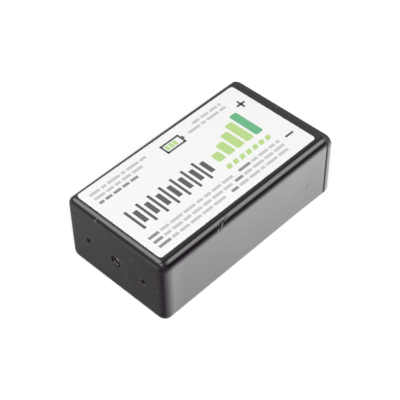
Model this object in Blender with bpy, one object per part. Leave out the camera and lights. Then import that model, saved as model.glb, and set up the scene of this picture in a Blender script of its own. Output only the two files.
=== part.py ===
# A rechargeable nine volt block battery: a moulded case with a welded terminal cap, a printed
# label, two snap terminals riveted through the cap, and seven flat cells stacked inside.
# It lies on its wide face. +X points along the length to the terminals, +Z up through the label.
# All lengths are metres. The origin is under the middle of the overall length, on the rest face.
import bmesh
import bpy
from math import cos, pi, sin, sqrt
from mathutils import Vector, geometry

MM = 0.001

# Case and cap, outside
CASE_LENGTH = 46.4 * MM          # closed end to cap face
CASE_WIDTH = 25.4 * MM
CASE_HEIGHT = 15.5 * MM
LONG_EDGE_RADIUS = 1.65 * MM     # the four edges along the length
END_CORNER_RADIUS = 0.55 * MM    # what is left of it on the end faces
END_SIDE_RADIUS = 1.6 * MM       # upright edges of the closed end
END_TOP_RADIUS = 1.25 * MM       # upper and lower edges of the closed end
CAP_THICKNESS = 1.8 * MM         # cap face to the seam
CAP_SIDE_RADIUS = 0.85 * MM
CAP_TOP_RADIUS = 1.5 * MM

# Case and cap, inside and at the seam
CASE_WALL = 0.8 * MM
END_WALL = 1.2 * MM
CAVITY_DRAFT = 0.1 * MM          # how much the cavity narrows towards the closed end, each side
INNER_CORNER_RADIUS = 1.0 * MM
SEAM_GAP = 0.1 * MM
SEAM_CHAMFER = 0.2 * MM
SKIRT_DEPTH = 1.6 * MM           # how far the cap plugs into the case
SKIRT_CLEARANCE = 0.1 * MM
SKIRT_WALL = 0.8 * MM
CAP_FACE_WALL = 1.2 * MM

# Marks of the moulding tool on the closed end
GATE_RADIUS = 1.25 * MM
GATE_DEPTH = 0.55 * MM
GATE_FLOOR_ROUND = 0.25 * MM
NUB_RADIUS = 0.45 * MM           # the broken-off sprue in the middle of the gate recess
NUB_HEIGHT = 0.4 * MM
NUB_FLARE = 0.1 * MM
VENT_RADIUS = 0.42 * MM
VENT_SPACING = 7.15 * MM         # gate to vent

# Label, inside the rounded edges of the upper face
LABEL_TO_CAP_FACE = 2.95 * MM
LABEL_TO_CLOSED_END = 1.45 * MM
LABEL_SIDE_MARGIN = 1.7 * MM
LABEL_SHIFT = 0.2 * MM           # the label sits this much to the +Y side
LABEL_THICKNESS = 0.12 * MM
LABEL_CORNER_RADIUS = 0.9 * MM

# Snap terminals
TERMINAL_PITCH = 12.7 * MM
TERMINAL_HEIGHT = 2.1 * MM       # above the cap face
SEAT_DEPTH = 0.3 * MM
SEAT_CLEARANCE = 0.15 * MM
SHELL_THICKNESS = 0.3 * MM
STUD_FLANGE_RADIUS = 3.5 * MM
STUD_NECK_RADIUS = 2.55 * MM
STUD_BULB_RADIUS = 2.86 * MM
STUD_BULB_HEIGHT = 1.25 * MM     # above the flange
STUD_DISH_DEPTH = 0.35 * MM
SOCKET_THROAT_RADIUS = 2.75 * MM
SOCKET_RIM_RADIUS = 4.2 * MM
SOCKET_SKIRT_LIFT = 0.75 * MM
PETAL_COUNT = 6
PETAL_SLOT = 0.7 * MM
SLOT_FLOOR = 0.6 * MM

# Rivets, board and leads
RIVET_RADIUS = 0.8 * MM
RIVET_BORE_RADIUS = 0.5 * MM
RIVET_HEAD_RADIUS = 1.4 * MM
RIVET_HEAD_THICKNESS = 0.25 * MM
RIVET_CLEARANCE = 0.1 * MM
BOARD_THICKNESS = 0.8 * MM
BOARD_CLEARANCE = 0.2 * MM
LEAD_THICKNESS = 0.15 * MM
LEAD_WIDTH = 3.0 * MM
LEAD_BEND_RADIUS = 0.3 * MM
LEAD_GAP = 0.05 * MM             # free space on each side of a lead
LEAD_TAIL = 1.8 * MM             # how far a lead runs past its rivet or weld
LEAD_TO_SKIRT = 1.0 * MM

# Cell stack, which fills the room between the foam pad and the cap's skirt
CELL_COUNT = 7
CELL_ROUNDNESS = 0.98            # corner radius over half the height: the sides are near half circles
CELL_EDGE_RADIUS = 0.5 * MM
CELL_LID_INSET = 1.3 * MM
CELL_LID_RISE = 0.35 * MM
CELL_CRIMP = 0.55 * MM
LINK_WIDTH = 8.0 * MM
LINK_HEIGHT = 5.0 * MM
LINK_CORNER_RADIUS = 1.0 * MM
LINK_CLEARANCE = 0.1 * MM
SLEEVE_THICKNESS = 0.15 * MM
SLEEVE_CLEARANCE = 0.05 * MM
STACK_SLACK = 0.15 * MM          # free height left between the long lead and the case
STACK_TO_SKIRT = 0.8 * MM
PAD_THICKNESS = 1.0 * MM
PAD_BORDER = 0.7 * MM

# Print, in steps of a grid that divides the label into columns along it and rows across it
PRINT_COLUMNS = 42
PRINT_ROWS = 22
PRINT_MARGIN = 1.6
PLATE_PAIR_STEP = 2.9
PLATE_OFFSET = 1.2               # from a long plate to the short one beside it
LONG_PLATE = (0.6, 5.6)          # width and height
SHORT_PLATE = (1.1, 3.4)
PLATES_START = -18.2
PLATES_LEVEL = -1.3
BAR_COUNT = 5
BAR_WIDTH = 2.0
BAR_STEP = 2.6
BAR_FIRST_HEIGHT = 2.4
BAR_RISE = 1.25
BAR_START = 3.4
BAR_FOOT = -2.2
BAR_ROUND = 0.45
DASH_COUNT = 7
DASH_STEP = 1.8
DASH_SIZE = 1.15
DASH_SLANT = 0.4
DASH_LEVEL = -4.8
SIGN_SIZE = 2.2
SIGN_STROKE = 0.5
ICON_SIZE = (5.0, 2.6)
ICON_WALL = 0.45
ICON_PLACE = (-1.6, 6.4)         # its lower left corner
ICON_CELL_COUNT = 3
ROW_HEIGHT = 0.42
ROW_STEP = 1.35
NEAR_ROW_COUNT = 3
NEAR_GAP_START = -1.5
FAR_ROW_COUNT = 3
FAR_ROW_LENGTH = 14.5
END_ROW_COUNT = 2
END_ROW_LENGTH = 8.0
ROW_CHANGE = 2.4                 # how much the rows of a block differ in length
WORD_GAP = 0.9

# Smoothness of round forms
CORNER_STEPS = 6
ROUND_STEPS = 5
TURN_STEPS = 36
SHARP_ANGLE = 0.6                # radians
CUT_MARGIN = 0.3 * MM            # how far a cutting shape reaches past what it cuts
LEAST_STEP = 0.001 * MM          # stations closer than this are one
SAME_POINT = 0.000001 * MM

# Places that follow from the sizes
OVERALL_LENGTH = CASE_LENGTH + TERMINAL_HEIGHT
CLOSED_END = -OVERALL_LENGTH / 2
CAP_FACE = CLOSED_END + CASE_LENGTH
SEAM = CAP_FACE - CAP_THICKNESS
MID_HEIGHT = CASE_HEIGHT / 2
HALF_WIDTH = CASE_WIDTH / 2
HALF_HEIGHT = CASE_HEIGHT / 2
CAVITY_FLOOR = CLOSED_END + END_WALL
SKIRT_END = SEAM - SKIRT_DEPTH
CAP_INNER_FACE = CAP_FACE - CAP_FACE_WALL
SEAT_FLOOR = CAP_FACE - SEAT_DEPTH
BOARD_BACK = CAP_INNER_FACE - BOARD_THICKNESS
RIVET_HOLE_RADIUS = RIVET_RADIUS + RIVET_CLEARANCE
SKIRT_INSET = CASE_WALL + SKIRT_CLEARANCE
POCKET_INSET = SKIRT_INSET + SKIRT_WALL
LEAD_ROOM = LEAD_THICKNESS + 2 * LEAD_GAP
LEAD_ON_BOARD = BOARD_BACK - LEAD_ROOM / 2
CAVITY_INSET = CASE_WALL + CAVITY_DRAFT
SLEEVE_INSET = CAVITY_INSET + STACK_SLACK + LEAD_ROOM
CELL_INSET = SLEEVE_INSET + SLEEVE_THICKNESS + SLEEVE_CLEARANCE
CELL_WIDTH = CASE_WIDTH - 2 * CELL_INSET
CELL_HEIGHT = CASE_HEIGHT - 2 * CELL_INSET
PAD_FRONT = CAVITY_FLOOR + PAD_THICKNESS
STACK_FRONT = SKIRT_END - STACK_TO_SKIRT
STACK_BACK = PAD_FRONT + LEAD_ROOM
LINK_THICKNESS = LEAD_THICKNESS
LINK_ROOM = LINK_THICKNESS + 2 * LINK_CLEARANCE
CELL_PITCH = (STACK_FRONT - STACK_BACK + LINK_ROOM) / CELL_COUNT
CELL_THICKNESS = CELL_PITCH - LINK_ROOM
POSITIVE_Y = TERMINAL_PITCH / 2
NEGATIVE_Y = -TERMINAL_PITCH / 2
LABEL_LENGTH = CASE_LENGTH - LABEL_TO_CAP_FACE - LABEL_TO_CLOSED_END
LABEL_WIDTH = CASE_WIDTH - 2 * LABEL_SIDE_MARGIN
LABEL_MIDDLE = CAP_FACE - LABEL_TO_CAP_FACE - LABEL_LENGTH / 2
COLUMN = LABEL_LENGTH / PRINT_COLUMNS
ROW = LABEL_WIDTH / PRINT_ROWS
PRINT_RIGHT = PRINT_COLUMNS / 2 - 2 * PRINT_MARGIN - SIGN_SIZE
PRINT_LEFT = PRINT_MARGIN - PRINT_COLUMNS / 2

# Colours: red, green, blue, roughness, metallic
FINISHES = {
    "case_plastic": (0.022, 0.020, 0.022, 0.22, 0.0),
    "cap_plastic": (0.026, 0.024, 0.026, 0.45, 0.0),
    "label_white": (0.88, 0.88, 0.87, 0.4, 0.0),
    "print_grey": (0.125, 0.12, 0.13, 0.4, 0.0),
    "print_pale": (0.52, 0.53, 0.53, 0.4, 0.0),
    "print_lime": (0.49, 0.68, 0.26, 0.4, 0.0),
    "print_green": (0.16, 0.48, 0.25, 0.4, 0.0),
    "nickel_plate": (0.70, 0.68, 0.64, 0.25, 1.0),
    "cell_steel": (0.62, 0.61, 0.59, 0.35, 1.0),
    "board_fibre": (0.20, 0.13, 0.08, 0.7, 0.0),
    "sleeve_film": (0.03, 0.10, 0.28, 0.35, 0.0),
    "foam": (0.30, 0.30, 0.30, 0.95, 0.0),
}


def clear_scene():
    for item in list(bpy.data.objects):
        bpy.data.objects.remove(item, do_unlink=True)


def finish(name):
    material = bpy.data.materials.get(name)
    if material:
        return material
    red, green, blue, roughness, metallic = FINISHES[name]
    material = bpy.data.materials.new(name)
    material.use_nodes = True
    material.diffuse_color = (red, green, blue, 1.0)
    shader = material.node_tree.nodes["Principled BSDF"]
    shader.inputs["Base Color"].default_value = (red, green, blue, 1.0)
    shader.inputs["Roughness"].default_value = roughness
    shader.inputs["Metallic"].default_value = metallic
    return material


def keep(shape, name, *finish_names):
    """Turn a bmesh into a named, smooth-shaded object with its finishes."""
    bmesh.ops.recalc_face_normals(shape, faces=shape.faces)
    mesh = bpy.data.meshes.new(name)
    shape.to_mesh(mesh)
    shape.free()
    for finish_name in finish_names:
        mesh.materials.append(finish(finish_name))
    mesh.shade_smooth()
    mesh.set_sharp_from_angle(angle=SHARP_ANGLE)
    piece = bpy.data.objects.new(name, mesh)
    bpy.context.collection.objects.link(piece)
    return piece


def cut(piece, cutter):
    """Subtract a guide shape, which stays in the file as a wire that isn't rendered."""
    cutter.hide_render = True
    cutter.display_type = "WIRE"
    boolean = piece.modifiers.new("cut_" + cutter.name, "BOOLEAN")
    boolean.operation = "DIFFERENCE"
    boolean.solver = "EXACT"
    boolean.object = cutter


def rounded_rectangle(half_width, half_height, radius):
    """Points of a rounded rectangle, anticlockwise: an arc about each of its four corners."""
    points = []
    for quarter, (side, up) in enumerate(((1, 1), (-1, 1), (-1, -1), (1, -1))):
        for step in range(CORNER_STEPS + 1):
            angle = (quarter + step / CORNER_STEPS) * pi / 2
            points.append((side * (half_width - radius) + radius * cos(angle),
                           up * (half_height - radius) + radius * sin(angle)))
    return points


def loft(name, stations, *finish_names, tube=False):
    """Skin rounded rectangles along X. Each station is x, half width, half height, radius.

    Stations may step at one x and turn back, which makes a hollow with its floor at the last.
    A tube's last station joins its first instead.
    """
    shape = bmesh.new()
    rings = []
    for x, half_width, half_height, radius in stations:
        outline = rounded_rectangle(half_width, half_height, radius)
        rings.append([shape.verts.new((x, y, MID_HEIGHT + z)) for y, z in outline])
    following = rings[1:] + rings[:1] if tube else rings[1:]
    for ring, after in zip(rings, following):
        for index in range(len(ring)):
            beyond = (index + 1) % len(ring)
            shape.faces.new((ring[index], ring[beyond], after[beyond], after[index]))
    if not tube:
        shape.faces.new(rings[0][::-1])
        shape.faces.new(rings[-1])
    return keep(shape, name, *finish_names)


def turned(name, outline, y, z, *finish_names, hollow=False):
    """Turn an outline of x and radius points about an axis along X through y, z.

    A solid outline starts and ends on the axis. A hollow one is a closed loop clear of it.
    """
    shape = bmesh.new()
    rings = []
    for x, radius in outline:
        if radius == 0:
            rings.append([shape.verts.new((x, y, z))])
            continue
        angles = [2 * pi * step / TURN_STEPS for step in range(TURN_STEPS)]
        rings.append([shape.verts.new((x, y + radius * cos(a), z + radius * sin(a))) for a in angles])
    pairs = list(zip(rings, rings[1:]))
    if hollow:
        pairs.append((rings[-1], rings[0]))
    for ring, after in pairs:
        for index in range(TURN_STEPS):
            beyond = (index + 1) % TURN_STEPS
            corners = [ring[index % len(ring)], ring[beyond % len(ring)],
                       after[beyond % len(after)], after[index % len(after)]]
            shape.faces.new(list(dict.fromkeys(corners)))
    return keep(shape, name, *finish_names)


def wall_outline(path, thickness, sharpest=0.5):
    """A closed outline that follows an open path with a wall of even thickness.

    At a bend the wall is mitred, as far as the cosine of half the turn stays above the sharpest.
    """
    points = [Vector(point) for point in path]
    left, right = [], []
    for index, point in enumerate(points):
        before = points[max(index - 1, 0)]
        after = points[min(index + 1, len(points) - 1)]
        into = (point - before).normalized() if index > 0 else (after - point).normalized()
        out = (after - point).normalized() if index < len(points) - 1 else into
        middle = (into + out).normalized()
        normal = Vector((-middle.y, middle.x))
        reach = thickness / 2 / max(middle.dot(into), sharpest)
        left.append(point + normal * reach)
        right.append(point - normal * reach)
    return [tuple(point) for point in left + right[::-1]]


def bent_path(corners, radius):
    """A path with straight runs and round bends of one radius at its inner corners."""
    points = [Vector(corners[0])]
    for before, corner, after in zip(corners, corners[1:], corners[2:]):
        corner = Vector(corner)
        back = (Vector(before) - corner).normalized()
        ahead = (Vector(after) - corner).normalized()
        half_angle = back.angle(ahead) / 2
        centre = corner + (back + ahead).normalized() * radius / sin(half_angle)
        start = corner + back * radius * cos(half_angle) / sin(half_angle) - centre
        end = corner + ahead * radius * cos(half_angle) / sin(half_angle) - centre
        for step in range(ROUND_STEPS):
            share = step / (ROUND_STEPS - 1)
            blend = start * sin((1 - share) * (pi / 2)) + end * sin(share * (pi / 2))
            points.append(centre + blend.normalized() * radius)
    points.append(Vector(corners[-1]))
    return points


def strip(name, corners, y, finish_name):
    """A flat metal strip along a bent path in the XZ plane, centred on y."""
    outline = wall_outline(bent_path(corners, LEAD_BEND_RADIUS), LEAD_THICKNESS)
    shape = bmesh.new()
    near = [shape.verts.new((x, y - LEAD_WIDTH / 2, z)) for x, z in outline]
    far = [shape.verts.new((x, y + LEAD_WIDTH / 2, z)) for x, z in outline]
    shape.faces.new(near)
    shape.faces.new(far[::-1])
    for index in range(len(near)):
        beyond = (index + 1) % len(near)
        shape.faces.new((near[index], far[index], far[beyond], near[beyond]))
    return keep(shape, name, finish_name)


def rod(name, x_from, x_to, radius, y):
    return turned(name, [(x_from, 0), (x_from, radius), (x_to, radius), (x_to, 0)], y, MID_HEIGHT)


def drawn_in(distance, radius):
    """How far a wall has drawn in at this distance from the end of a quarter-round edge."""
    reach = radius - min(distance, radius)
    return radius - sqrt(max(radius * radius - reach * reach, 0))


def round_end(end, direction, side_radius, top_radius):
    """Stations from an end face to where its rounded edges meet the straight walls."""
    stations = []
    longest = max(side_radius, top_radius)
    for step in range(ROUND_STEPS + 1):
        distance = longest * (1 - cos(step / ROUND_STEPS * pi / 2))
        side = drawn_in(distance, side_radius)
        top = drawn_in(distance, top_radius)
        radius = max(LONG_EDGE_RADIUS - min(side, top), END_CORNER_RADIUS)
        stations.append((end + direction * distance, HALF_WIDTH - side, HALF_HEIGHT - top, radius))
    return stations


def even_station(x, inset, radius=INNER_CORNER_RADIUS):
    """A station drawn in all round by one inset from the outside of the case."""
    return (x, HALF_WIDTH - inset, HALF_HEIGHT - inset, radius)


def make_case_tub():
    """A moulded box open towards the cap, with a gate recess and two through vents in its end."""
    stations = round_end(CLOSED_END, 1, END_SIDE_RADIUS, END_TOP_RADIUS)
    stations.append(even_station(SEAM - SEAM_CHAMFER, 0, LONG_EDGE_RADIUS))
    stations.append(even_station(SEAM, SEAM_CHAMFER, LONG_EDGE_RADIUS - SEAM_CHAMFER))
    stations.append(even_station(SEAM, CASE_WALL))
    stations.append(even_station(CAVITY_FLOOR, CAVITY_INSET))
    tub = loft("case_tub", stations, "case_plastic")
    outside = CLOSED_END - CUT_MARGIN
    floor = CLOSED_END + GATE_DEPTH
    nub_top = floor - NUB_HEIGHT
    gate_outline = [(outside, 0), (outside, GATE_RADIUS), (floor - GATE_FLOOR_ROUND, GATE_RADIUS),
                    (floor, GATE_RADIUS - GATE_FLOOR_ROUND), (floor, NUB_RADIUS + NUB_FLARE),
                    (nub_top, NUB_RADIUS), (nub_top, 0)]
    cut(tub, turned("gate_recess_cutter", gate_outline, 0, MID_HEIGHT))
    for number, y in enumerate((-VENT_SPACING, VENT_SPACING), 1):
        vent = rod(f"vent_cutter_{number}", outside, CAVITY_FLOOR + CUT_MARGIN, VENT_RADIUS, y)
        cut(tub, vent)
    return tub


def make_end_cap():
    """A lid with a skirt that plugs into the case, and a round seat for each terminal."""
    back = SEAM + SEAM_GAP
    chamfer_end = back + SEAM_CHAMFER
    stations = [even_station(CAP_INNER_FACE, POCKET_INSET),
                even_station(SKIRT_END, POCKET_INSET),
                even_station(SKIRT_END, SKIRT_INSET),
                even_station(back, SKIRT_INSET),
                even_station(back, SEAM_CHAMFER, LONG_EDGE_RADIUS - SEAM_CHAMFER),
                even_station(chamfer_end, 0, LONG_EDGE_RADIUS)]
    largest = CAP_FACE - chamfer_end
    rounded = round_end(CAP_FACE, -1, min(CAP_SIDE_RADIUS, largest), min(CAP_TOP_RADIUS, largest))
    stations += [station for station in rounded[::-1] if station[0] > chamfer_end + LEAST_STEP]
    cap = loft("end_cap", stations, "cap_plastic")
    beyond = CAP_FACE + CUT_MARGIN
    seats = (("positive", POSITIVE_Y, STUD_FLANGE_RADIUS), ("negative", NEGATIVE_Y, SOCKET_RIM_RADIUS))
    for pole, y, radius in seats:
        cut(cap, rod(pole + "_seat_cutter", SEAT_FLOOR, beyond, radius + SEAT_CLEARANCE, y))
        inside = CAP_INNER_FACE - CUT_MARGIN
        cut(cap, rod(pole + "_cap_hole_cutter", inside, beyond, RIVET_HOLE_RADIUS, y))
    return cap


def make_terminal_board():
    inset = POCKET_INSET + BOARD_CLEARANCE
    board = loft("terminal_board", [even_station(BOARD_BACK, inset), even_station(CAP_INNER_FACE, inset)],
                 "board_fibre")
    for pole, y in (("positive", POSITIVE_Y), ("negative", NEGATIVE_Y)):
        hole = rod(pole + "_board_hole_cutter", BOARD_BACK - CUT_MARGIN, CAP_INNER_FACE + CUT_MARGIN,
                   RIVET_HOLE_RADIUS, y)
        cut(board, hole)
    return board


def make_positive_stud():
    """A drawn shell: flange, neck and bulb, with a dished crown that the rivet head sits in."""
    wall = SHELL_THICKNESS
    base = SEAT_FLOOR + wall / 2
    crown = CAP_FACE + TERMINAL_HEIGHT - wall / 2
    neck = STUD_NECK_RADIUS - wall / 2
    bulb = STUD_BULB_RADIUS - wall / 2
    bulb_height = base + STUD_BULB_HEIGHT
    dish = crown - STUD_DISH_DEPTH
    path = [(base, STUD_FLANGE_RADIUS), (base, neck + wall), (base + wall / 2, neck + wall / 4),
            (base + 2 * wall, neck), (bulb_height - wall, bulb - wall / 4), (bulb_height, bulb),
            (crown - wall, bulb - wall / 3), (crown - wall / 4, bulb - wall),
            (crown, bulb - 2 * wall), (crown - wall / 4, bulb - 3 * wall),
            (dish, RIVET_HEAD_RADIUS), (dish, RIVET_HOLE_RADIUS)]
    outline = wall_outline(path, wall)
    return turned("positive_stud", outline, POSITIVE_Y, MID_HEIGHT, "nickel_plate", hollow=True)


def make_negative_socket():
    """A drawn crown: a throat that grips the stud, rolled outwards into a slotted skirt."""
    wall = SHELL_THICKNESS
    base = SEAT_FLOOR + wall / 2
    crown = CAP_FACE + TERMINAL_HEIGHT - wall / 2
    throat = SOCKET_THROAT_RADIUS + wall / 2
    rim = SOCKET_RIM_RADIUS - wall / 2
    roll = (rim - throat) / 2
    throat_top = crown - roll
    path = [(base, RIVET_HOLE_RADIUS), (base, throat), (base + wall, throat + wall),
            (base + 3 * wall, throat + wall / 2), (throat_top - wall, throat)]
    for step in range(ROUND_STEPS + 1):
        angle = step / ROUND_STEPS * pi
        path.append((throat_top + roll * sin(angle), throat + roll * (1 - cos(angle))))
    path.append((SEAT_FLOOR + SOCKET_SKIRT_LIFT, rim))
    outline = wall_outline(path, wall)
    socket = turned("negative_socket", outline, NEGATIVE_Y, MID_HEIGHT, "nickel_plate", hollow=True)
    shape = bmesh.new()
    inner = throat - 2 * wall
    outer = SOCKET_RIM_RADIUS + wall
    top = CAP_FACE + TERMINAL_HEIGHT + wall
    for petal in range(PETAL_COUNT):
        angle = 2 * pi * petal / PETAL_COUNT
        along = Vector((0, cos(angle), sin(angle)))
        across = Vector((0, -sin(angle), cos(angle))) * PETAL_SLOT / 2
        centre = Vector((0, NEGATIVE_Y, MID_HEIGHT))
        flat = [centre + along * inner - across, centre + along * outer - across,
                centre + along * outer + across, centre + along * inner + across]
        low = [shape.verts.new(point + Vector((SEAT_FLOOR + SLOT_FLOOR, 0, 0))) for point in flat]
        high = [shape.verts.new(point + Vector((top, 0, 0))) for point in flat]
        shape.faces.new(low[::-1])
        shape.faces.new(high)
        for index in range(4):
            beyond = (index + 1) % 4
            shape.faces.new((low[index], low[beyond], high[beyond], high[index]))
    cut(socket, keep(shape, "petal_slot_cutter"))
    return socket


def make_rivet(pole, y, head_seat):
    """A tubular rivet from the terminal through cap, board and lead, rolled over behind."""
    tail = LEAD_ON_BOARD - LEAD_THICKNESS / 2 - LEAD_GAP
    head = head_seat + RIVET_HEAD_THICKNESS
    roll = tail - RIVET_HEAD_THICKNESS
    outline = [(head, RIVET_BORE_RADIUS), (head, RIVET_HEAD_RADIUS - RIVET_HEAD_THICKNESS / 2),
               (head_seat + RIVET_HEAD_THICKNESS / 2, RIVET_HEAD_RADIUS),
               (head_seat, RIVET_HEAD_RADIUS - RIVET_HEAD_THICKNESS / 2),
               (head_seat, RIVET_RADIUS), (tail, RIVET_RADIUS),
               (tail, RIVET_HEAD_RADIUS - RIVET_HEAD_THICKNESS / 2),
               (tail - RIVET_HEAD_THICKNESS / 2, RIVET_HEAD_RADIUS),
               (roll, RIVET_HEAD_RADIUS - RIVET_HEAD_THICKNESS / 2), (roll, RIVET_BORE_RADIUS)]
    return turned(pole + "_rivet", outline, y, MID_HEIGHT, "nickel_plate", hollow=True)


def pierce_lead(lead, pole, y):
    hole = rod(pole + "_lead_hole_cutter", LEAD_ON_BOARD - CUT_MARGIN, LEAD_ON_BOARD + CUT_MARGIN,
               RIVET_HOLE_RADIUS, y)
    cut(lead, hole)
    return lead


def make_positive_lead():
    """A short U from the positive rivet back to the front face of the first cell."""
    on_cell = STACK_FRONT + LEAD_ROOM / 2
    top = MID_HEIGHT + RIVET_HEAD_RADIUS + LEAD_TAIL
    corners = [(LEAD_ON_BOARD, MID_HEIGHT - LEAD_TAIL), (LEAD_ON_BOARD, top), (on_cell, top),
               (on_cell, MID_HEIGHT - LEAD_TAIL)]
    lead = strip("positive_lead", corners, POSITIVE_Y, "nickel_plate")
    return pierce_lead(lead, "positive", POSITIVE_Y)


def make_negative_lead():
    """A long strip from the negative rivet over the stack to the back face of the last cell."""
    in_gap = (SKIRT_END + STACK_FRONT) / 2
    on_last = STACK_BACK - LEAD_ROOM / 2
    under_skirt = CASE_HEIGHT - POCKET_INSET - LEAD_TO_SKIRT
    over_stack = CASE_HEIGHT - SLEEVE_INSET + LEAD_ROOM / 2
    corners = [(LEAD_ON_BOARD, MID_HEIGHT - LEAD_TAIL), (LEAD_ON_BOARD, under_skirt),
               (in_gap, under_skirt), (in_gap, over_stack), (on_last, over_stack),
               (on_last, MID_HEIGHT - LEAD_TAIL)]
    lead = strip("negative_lead", corners, NEGATIVE_Y, "nickel_plate")
    return pierce_lead(lead, "negative", NEGATIVE_Y)


def oval(x, inset):
    """A station of an oval cell, drawn in all round by an inset."""
    half_height = CELL_HEIGHT / 2 - inset
    return (x, CELL_WIDTH / 2 - inset, half_height, half_height * CELL_ROUNDNESS)


def make_cell(number):
    """A sealed oval cell: a drawn can, crimped over the gasket round a raised lid."""
    front = STACK_FRONT - (number - 1) * CELL_PITCH
    back = front - CELL_THICKNESS
    edge = CELL_EDGE_RADIUS
    shoulder = back + CELL_LID_RISE
    stations = [oval(back, CELL_LID_INSET + CELL_CRIMP / 2), oval(shoulder, CELL_LID_INSET),
                oval(shoulder, CELL_LID_INSET - CELL_CRIMP), oval(shoulder + CELL_CRIMP, 0),
                oval(front - edge, 0), oval(front - edge * 0.3, edge * 0.3), oval(front, edge)]
    return loft(f"cell_{number}", stations, "cell_steel")


def make_cell_link(number):
    """The nickel plate welded between two neighbouring cells."""
    middle = STACK_FRONT - number * CELL_PITCH + LINK_CLEARANCE + LINK_THICKNESS / 2
    stations = [(middle + side * LINK_THICKNESS / 2, LINK_WIDTH / 2, LINK_HEIGHT / 2,
                 LINK_CORNER_RADIUS) for side in (-1, 1)]
    return loft(f"cell_link_{number}", stations, "nickel_plate")


def make_stack_sleeve():
    """Shrunk film round the seven cells, open at both ends."""
    inner = -SLEEVE_CLEARANCE
    outer = inner - SLEEVE_THICKNESS
    stations = [oval(STACK_BACK, outer), oval(STACK_FRONT, outer), oval(STACK_FRONT, inner),
                oval(STACK_BACK, inner)]
    return loft("stack_sleeve", stations, "sleeve_film", tube=True)


def make_end_pad():
    """Foam between the cavity floor and the stack, which keeps the cells from rattling."""
    stations = [even_station(x, CAVITY_INSET + PAD_BORDER) for x in (CAVITY_FLOOR, PAD_FRONT)]
    return loft("end_pad", stations, "foam")


def block(u, v, width, height, slant=0.0):
    """The outline of a four-cornered field of print, with its lower left corner at u, v."""
    return [(u, v), (u + width, v), (u + width + slant, v + height), (u + slant, v + height)]


def rounded_block(u, v, width, height, radius):
    """A field with rounded corners, from the same arcs as the case section."""
    outline = rounded_rectangle(width / 2, height / 2, radius)
    return [(u + width / 2 + a, v + height / 2 + b) for a, b in outline]


def plate_fields():
    """The circuit symbol of a battery with one long and one short plate for each cell."""
    fields = []
    for number in range(CELL_COUNT):
        u = PLATES_START + number * PLATE_PAIR_STEP
        for start, (width, height) in ((u, LONG_PLATE), (u + PLATE_OFFSET, SHORT_PLATE)):
            fields.append(("print_grey", block(start, PLATES_LEVEL - height / 2, width, height)))
    return fields


def charge_bar_fields():
    """Bars that rise towards the terminals, the last one in the deeper green."""
    fields = []
    for number in range(BAR_COUNT):
        name = "print_green" if number == BAR_COUNT - 1 else "print_lime"
        height = BAR_FIRST_HEIGHT + number * BAR_RISE
        outline = rounded_block(BAR_START + number * BAR_STEP, BAR_FOOT, BAR_WIDTH, height, BAR_ROUND)
        fields.append((name, outline))
    return fields


def dash_fields():
    """A row of slanted dashes under the bars."""
    return [("print_lime", block(BAR_START + number * DASH_STEP, DASH_LEVEL, DASH_SIZE, DASH_SIZE,
                                 DASH_SLANT)) for number in range(DASH_COUNT)]


def icon_fields():
    """An outlined battery with its nub, and a few filled cells inside it."""
    u, v = ICON_PLACE
    width, height = ICON_SIZE
    nub = height / 3
    inner_width, inner_height = width - 2 * ICON_WALL, height - 2 * ICON_WALL
    fields = [("print_grey", block(u, v, width, height)),
              ("print_grey", block(u + width, v + nub, ICON_WALL, nub)),
              ("label_white", block(u + ICON_WALL, v + ICON_WALL, inner_width, inner_height))]
    step = inner_width / (ICON_CELL_COUNT + 1)
    for number in range(ICON_CELL_COUNT):
        cell_u = u + ICON_WALL + step * number + ICON_WALL / 2
        fields.append(("print_lime", block(cell_u, v + ICON_WALL * 1.5, step - ICON_WALL / 2,
                                           inner_height - ICON_WALL)))
    return fields


def sign_fields():
    """A plus and a minus sign at the terminal end, each in line with its terminal."""
    half, stroke = SIGN_SIZE / 2, SIGN_STROKE / 2
    centre = PRINT_COLUMNS / 2 - PRINT_MARGIN - half
    fields = []
    for y, name in ((POSITIVE_Y, "plus"), (NEGATIVE_Y, "minus")):
        level = (y - LABEL_SHIFT) / ROW
        fields.append(("print_grey", block(centre - half, level - stroke, SIGN_SIZE, SIGN_STROKE)))
        if name == "plus":
            upright = block(centre - stroke, level - half, SIGN_STROKE, SIGN_SIZE)
            fields.append(("print_grey", upright))
    return fields


def small_print_fields():
    """Pale rows that stand for small print: along the near side and in both far corners."""
    fields = []
    for row in range(NEAR_ROW_COUNT):
        level = PRINT_MARGIN - PRINT_ROWS / 2 + row * ROW_STEP
        gap = NEAR_GAP_START + row * ROW_CHANGE
        fields.append(block(PRINT_LEFT, level, gap - PRINT_LEFT, ROW_HEIGHT))
        fields.append(block(gap + WORD_GAP, level, PRINT_RIGHT - gap - WORD_GAP, ROW_HEIGHT))
    for row in range(FAR_ROW_COUNT):
        level = PRINT_ROWS / 2 - PRINT_MARGIN - ROW_HEIGHT - row * ROW_STEP
        length = FAR_ROW_LENGTH - row * ROW_CHANGE
        fields.append(block(PRINT_LEFT, level, length, ROW_HEIGHT))
        if row < END_ROW_COUNT:
            length = END_ROW_LENGTH + row * ROW_CHANGE
            fields.append(block(PRINT_RIGHT - length, level, length, ROW_HEIGHT))
    return [("print_pale", outline) for outline in fields]


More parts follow.
